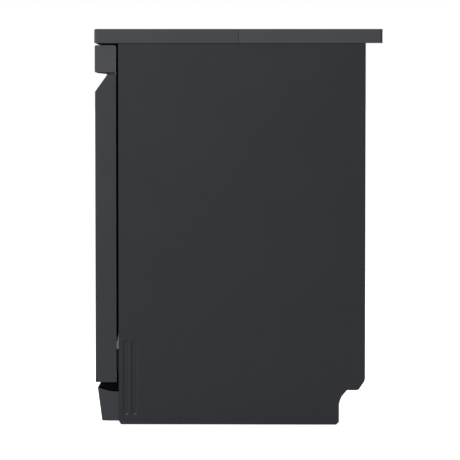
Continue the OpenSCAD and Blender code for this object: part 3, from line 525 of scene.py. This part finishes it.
def make_screws():
    """Pan heads with a cross recess, as real screws have."""
    low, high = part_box("cabinet_screws")
    x = high[0] - 0.004
    bm = bmesh.new()
    for side in (-1, 1):
        for z in steps_between(low[2] + 0.004, high[2] - 0.004, 0.31):
            face = high[1] - 0.0022
            turned(bm, [(-0.009, 0), (-0.009, 0.0016), (0, 0.0016), (0, 0.004), (0.0011, 0.0037),
                        (0.0019, 0.0026),
                        (0.0022, 0.0017), (0.0012, 0.0011), (0.0007, 0)], (side * x, face, z), "y", 24)
            for span in ((0.0028, 0.0006), (0.0006, 0.0028)):
                rounded_box(bm, (side * x - span[0] / 2, face + 0.0015, z - span[1] / 2),
                            (side * x + span[0] / 2, face + 0.00215, z + span[1] / 2), 0.0001, 1)
    piece = add_piece("cross_head_screws", bm, "cabinet", "zinc_bright", ("cabinet_screws",))


def make_foot(node):
    """A levelling foot: round pad, round collar and a threaded stud."""
    low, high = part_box(node)
    x, y = (low[0] + high[0]) / 2, (low[1] + high[1]) / 2
    pad = (high[0] - low[0]) / 2
    bm = bmesh.new()
    profile = [(low[2], 0), (low[2], pad - 0.002), (low[2] + 0.0012, pad), (low[2] + 0.0036, pad),
               (low[2] + 0.005, pad - 0.0022), (low[2] + 0.0052, 0.0135), (low[2] + 0.0074, 0.0130),
               (low[2] + 0.0075, 0.0042)]
    z = low[2] + 0.008
    while z < high[2] - 0.002:
        profile += [(z, 0.0041), (z + 0.00075, 0.0048)]
        z += 0.0015
    profile += [(high[2] - 0.0006, 0.0042), (high[2], 0.0034), (high[2], 0)]
    turned(bm, profile, (x, y, 0), "z", 32)
    piece = add_piece(node + "_threaded", bm, BODY_OF[node], "black_plastic", (node,), smooth=False)


def make_spray_arm(node, body):
    """A hollow two-blade arm: pillowed blades, raised ridge, hub collar and nozzles."""
    low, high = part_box(node)
    y = (low[1] + high[1]) / 2
    reach = (high[0] - low[0]) / 2
    z0, z1 = low[2], high[2]
    hub = (high[1] - low[1]) / 2
    bm = bmesh.new()
    sections = []
    count = 28
    for i in range(count + 1):
        t = -1 + 2 * i / count
        along = reach * (math.sin(t * math.pi / 2) * 0.35 + t * 0.65)
        end = min(1.0, (reach - abs(along)) / 0.013)
        half = (0.0185 - 0.0065 * abs(along) / reach) * math.sqrt(max(0.0, 1 - (1 - end) ** 2))
        tall = (z1 - z0 - 0.003) * (0.35 + 0.65 * math.sqrt(max(0.0, 1 - (1 - end) ** 2)))
        ring = []
        for k in range(20):
            angle = 2 * math.pi * k / 20
            c, s = math.cos(angle), math.sin(angle)
            across = half * math.copysign(abs(c) ** 0.7, c)
            lift = (math.copysign(abs(s) ** 0.6, s) + 1) / 2 * tall
            ridge = 0.0012 * math.exp(-(across / 0.005) ** 2) if s > 0.2 else 0.0
            ring.append(bm.verts.new((along, y + across, z0 + lift + ridge * end)))
        sections.append(ring)
    for near, far in zip(sections, sections[1:]):
        for k in range(20):
            bm.faces.new((near[k], near[(k + 1) % 20], far[(k + 1) % 20], far[k]))
    bm.faces.new(sections[0])
    bm.faces.new(sections[-1])
    turned(bm, [(z0, 0.0061), (z0, hub - 0.002), (z0 + 0.002, hub), (z1 - 0.004, hub),
                (z1 - 0.0015, hub - 0.0015),
                (z1, hub - 0.006), (z1, 0.0061)], (0, y, 0), "z", 40)
    for i in range(1, 5):
        for side in (-1, 1):
            x = side * (i * reach / 5 + 0.012)
            turned(bm, [(z1 - 0.0055, 0.0045), (z1 - 0.0024, 0.0042), (z1 - 0.0018, 0.0034),
                        (z1 - 0.0020, 0.0018),
                        (z1 - 0.0042, 0.0015), (z1 - 0.0042, 0)],
                   (x, y + side * (0.003 - 0.002 * (i % 3)), 0), "z", 16)
    bmesh.ops.remove_doubles(bm, verts=bm.verts, dist=1e-6)
    piece = add_piece(node + "_moulded", bm, body, "grey_plastic", (node,))


def make_seal():
    """Tub gasket: a round sealing lip on a flat foot, in one bent length."""
    low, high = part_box("door_seal")
    x = high[0] - 0.0055
    top = high[2] - 0.0055
    path = fillet([(-x, 0, low[2]), (-x, 0, top), (x, 0, top), (x, 0, low[2])], 0.022, 8)
    bm = bmesh.new()
    profile = [(-0.0052, high[1]), (-0.0055, high[1] - 0.0018), (-0.0035, high[1] - 0.0022),
               (-0.0038, low[1] + 0.0010),
               (-0.0018, low[1]), (0.0012, low[1] + 0.0001), (0.0034, low[1] + 0.0012),
               (0.0035, high[1] - 0.0022),
               (0.0052, high[1] - 0.0018), (0.0052, high[1])]
    rings = []
    for i, point in enumerate(path):
        ahead = path[min(i + 1, len(path) - 1)]
        behind = path[max(i - 1, 0)]
        along = (ahead - behind).normalized()
        side = Vector((along.z, 0, -along.x))
        rings.append([bm.verts.new((point.x + side.x * u, depth, point.z + side.z * u)) for u,
                      depth in profile])
    for near, far in zip(rings, rings[1:]):
        for k in range(len(profile)):
            n = (k + 1) % len(profile)
            bm.faces.new((near[k], near[n], far[n], far[k]))
    bm.faces.new(rings[0])
    bm.faces.new(rings[-1])
    piece = add_piece("door_gasket", bm, "cabinet", "black_rubber", ("door_seal",), smooth=False)


make_lower_rack()
make_wheels("front_wheels", "front_wheel_pair")
make_wheels("rear_wheels", "rear_wheel_pair")
make_tine_row()
make_upper_rack()
make_cup_shelf("cup_shelf_left", "cup_rest_left")
make_cup_shelf("cup_shelf_right", "cup_rest_right")
make_springs()
make_screws()
make_seal()
for foot in ("foot_front_left", "foot_front_right", "foot_rear_left", "foot_rear_right"):
    make_foot(foot)
for arm in ("lower_spray_arm", "middle_spray_arm", "top_spray_arm"):
    make_spray_arm(arm, BODY_OF[arm])


# ---- finishes of the CAD nodes ----

FINISHES = {
    "graphite_paint": ["side_panel_right", "side_panel_left"],
    "door_paint": ["door_outer_panel"],
    "console_paint": ["console"],
    "worktop_laminate": ["worktop_board"],
    "edge_trim": ["worktop_rear_trim"],
    "edge_trim_front": ["worktop_front_trim"],
    "stainless": ["tub"],
    "stainless_door": ["door_inner_panel"],
    "filter_mesh": ["filter_plate", "filter_cup"],
    "galvanised": ["back_panel", "top_crossbar", "rack_rails", "upper_runners"],
    "zinc_bright": ["hinge_springs", "cabinet_screws"],
    "zinc_dull": ["hinge_brackets"],
    "black_steel": ["hinge_arms"],
    # worktop_front_seal is a black strip set in the gap under the worktop's front: painted shadow where there
    # is only shade
    "black_rubber": ["worktop_front_seal", "door_seal", "door_bottom_seal"],
    "base_plastic": ["base_tray"],
    "black_plastic": ["sump", "circulation_pump", "door_latch", "handle_pocket",
                      "foot_front_left", "foot_front_right", "foot_rear_left", "foot_rear_right"],
    "plinth_plastic": ["kick_plate"],
    "white_plastic": ["drain_pump", "water_softener", "inlet_valve", "air_break", "float_cap", "salt_cap"],
    "grey_plastic": ["water_feed_pipe", "lower_spray_arm", "top_spray_arm", "middle_spray_arm",
                     "upper_feed_pipe", "front_wheels", "rear_wheels"],
    "tray_plastic": ["cutlery_basket", "cutlery_tray", "dispenser_body", "dispenser_lid"],
    "blue_plastic": ["rinse_aid_cap"],
    "rack_coating": ["upper_rack", "lower_rack", "tine_row", "cup_shelf_left", "cup_shelf_right"],
    "display_cover": ["display_window"],
    "circuit_board": ["control_board"],
    "button_plastic": ["power_button", "program_button", "start_button"],
}
EDGES = {"side_panel_right": 0.45, "side_panel_left": 0.45, "tub": 0.7, "worktop_board": 0.5,
         "worktop_front_trim": 1.6, "worktop_rear_trim": 1.6, "door_outer_panel": 0.48,
         "upper_rack": 0, "lower_rack": 0, "cup_shelf_left": 0, "cup_shelf_right": 0, "tine_row": 0,
         "door_inner_panel": 0.45, "console": 0.7, "kick_plate": 1.0, "filter_plate": 0.3,
         "cutlery_tray": 0.5, "cutlery_basket": 0.5, "hinge_springs": 0, "back_panel": 0.4}

for finish, members in FINISHES.items():
    for member in members:
        dress(member, finish, EDGES.get(member, 0.6))


# ---- camera, floor and light ----

def make_camera():
    """A long lens on the right-hand side, a little above the worktop's middle height."""
    camera = bpy.data.objects.new("camera", bpy.data.cameras.new("camera"))
    bpy.context.scene.collection.objects.link(camera)
    camera.data.sensor_width = 36.0
    camera.data.lens = 254.3
    camera.data.clip_end = 60.0
    camera.location = (7.2, 0.10, 0.826)
    aim = Vector((0.299, -0.0175, 0.418)) - camera.location
    camera.rotation_euler = aim.to_track_quat("-Z", "Y").to_euler()
    bpy.context.scene.camera = camera


def make_light(name, place, aim, size, power, color=(1, 1, 1)):
    lamp = bpy.data.lights.new(name, "AREA")
    lamp.shape = "RECTANGLE"
    lamp.size, lamp.size_y = size
    lamp.energy = power
    lamp.color = color
    holder = bpy.data.objects.new(name, lamp)
    holder.location = place
    holder.rotation_euler = (Vector(aim) - Vector(place)).to_track_quat("-Z", "Y").to_euler()
    bpy.context.scene.collection.objects.link(holder)


def make_stage():
    """A pale floor that meets a white surround."""
    bm = bmesh.new()
    bmesh.ops.create_circle(bm, cap_ends=True, radius=30.0, segments=64)
    mesh = bpy.data.meshes.new("floor")
    bm.to_mesh(mesh)
    bm.free()
    floor = bpy.data.objects.new("floor", mesh)
    bpy.context.scene.collection.objects.link(floor)
    material, tree, shader, place = new_material("floor")
    tree.links.new(tone(tree, (0.50, 0.50, 0.50), spread(tree, noise(tree, place, 3.0), 0.995, 1.005)),
                   shader.inputs["Base Color"])
    shader.inputs["Roughness"].default_value = 0.9
    shader.inputs["Emission Color"].default_value = (1, 1, 1, 1)
    glow = tree.nodes.new("ShaderNodeMapRange")
    glow.inputs["To Min"].default_value = 0.08
    glow.inputs["To Max"].default_value = 0.95
    tree.links.new(tree.nodes.new("ShaderNodeLightPath").outputs["Is Camera Ray"], glow.inputs["Value"])
    tree.links.new(glow.outputs["Result"], shader.inputs["Emission Strength"])
    # clear from below, so that the underside of the machine can be seen
    below = tree.nodes.new("ShaderNodeMixShader")
    tree.links.new(tree.nodes.new("ShaderNodeNewGeometry").outputs["Backfacing"], below.inputs[0])
    tree.links.new(shader.outputs[0], below.inputs[1])
    tree.links.new(tree.nodes.new("ShaderNodeBsdfTransparent").outputs[0], below.inputs[2])
    tree.links.new(below.outputs[0], tree.get_output_node("ALL").inputs["Surface"])
    mesh.materials.append(material)
    world = bpy.data.worlds.new("studio")
    world.use_nodes = True
    seen = world.node_tree.nodes.new("ShaderNodeLightPath")
    bright = world.node_tree.nodes.new("ShaderNodeMapRange")
    bright.inputs["To Min"].default_value = 0.42
    bright.inputs["To Max"].default_value = 1.0
    backdrop = world.node_tree.nodes["Background"]
    backdrop.inputs["Color"].default_value = (1.0, 1.0, 1.0, 1)
    world.node_tree.links.new(seen.outputs["Is Camera Ray"], bright.inputs["Value"])
    world.node_tree.links.new(bright.outputs["Result"], backdrop.inputs["Strength"])
    bpy.context.scene.world = world
    bpy.context.scene.view_settings.view_transform = "Standard"


make_camera()
make_stage()
make_light("key", (1.8, -1.5, 2.3), (0.3, -0.1, 0.7), (1.1, 1.1), 86)
make_light("front_fill", (0.4, -4.0, 1.6), (0, 0, 0.45), (1.8, 1.2), 30)
make_light("top", (0.2, 0.3, 3.8), (0, 0, 0.8), (1.6, 1.6), 44)
make_light("back_fill", (-3.4, 2.8, 2.2), (0, 0, 0.45), (2.0, 1.6), 46)
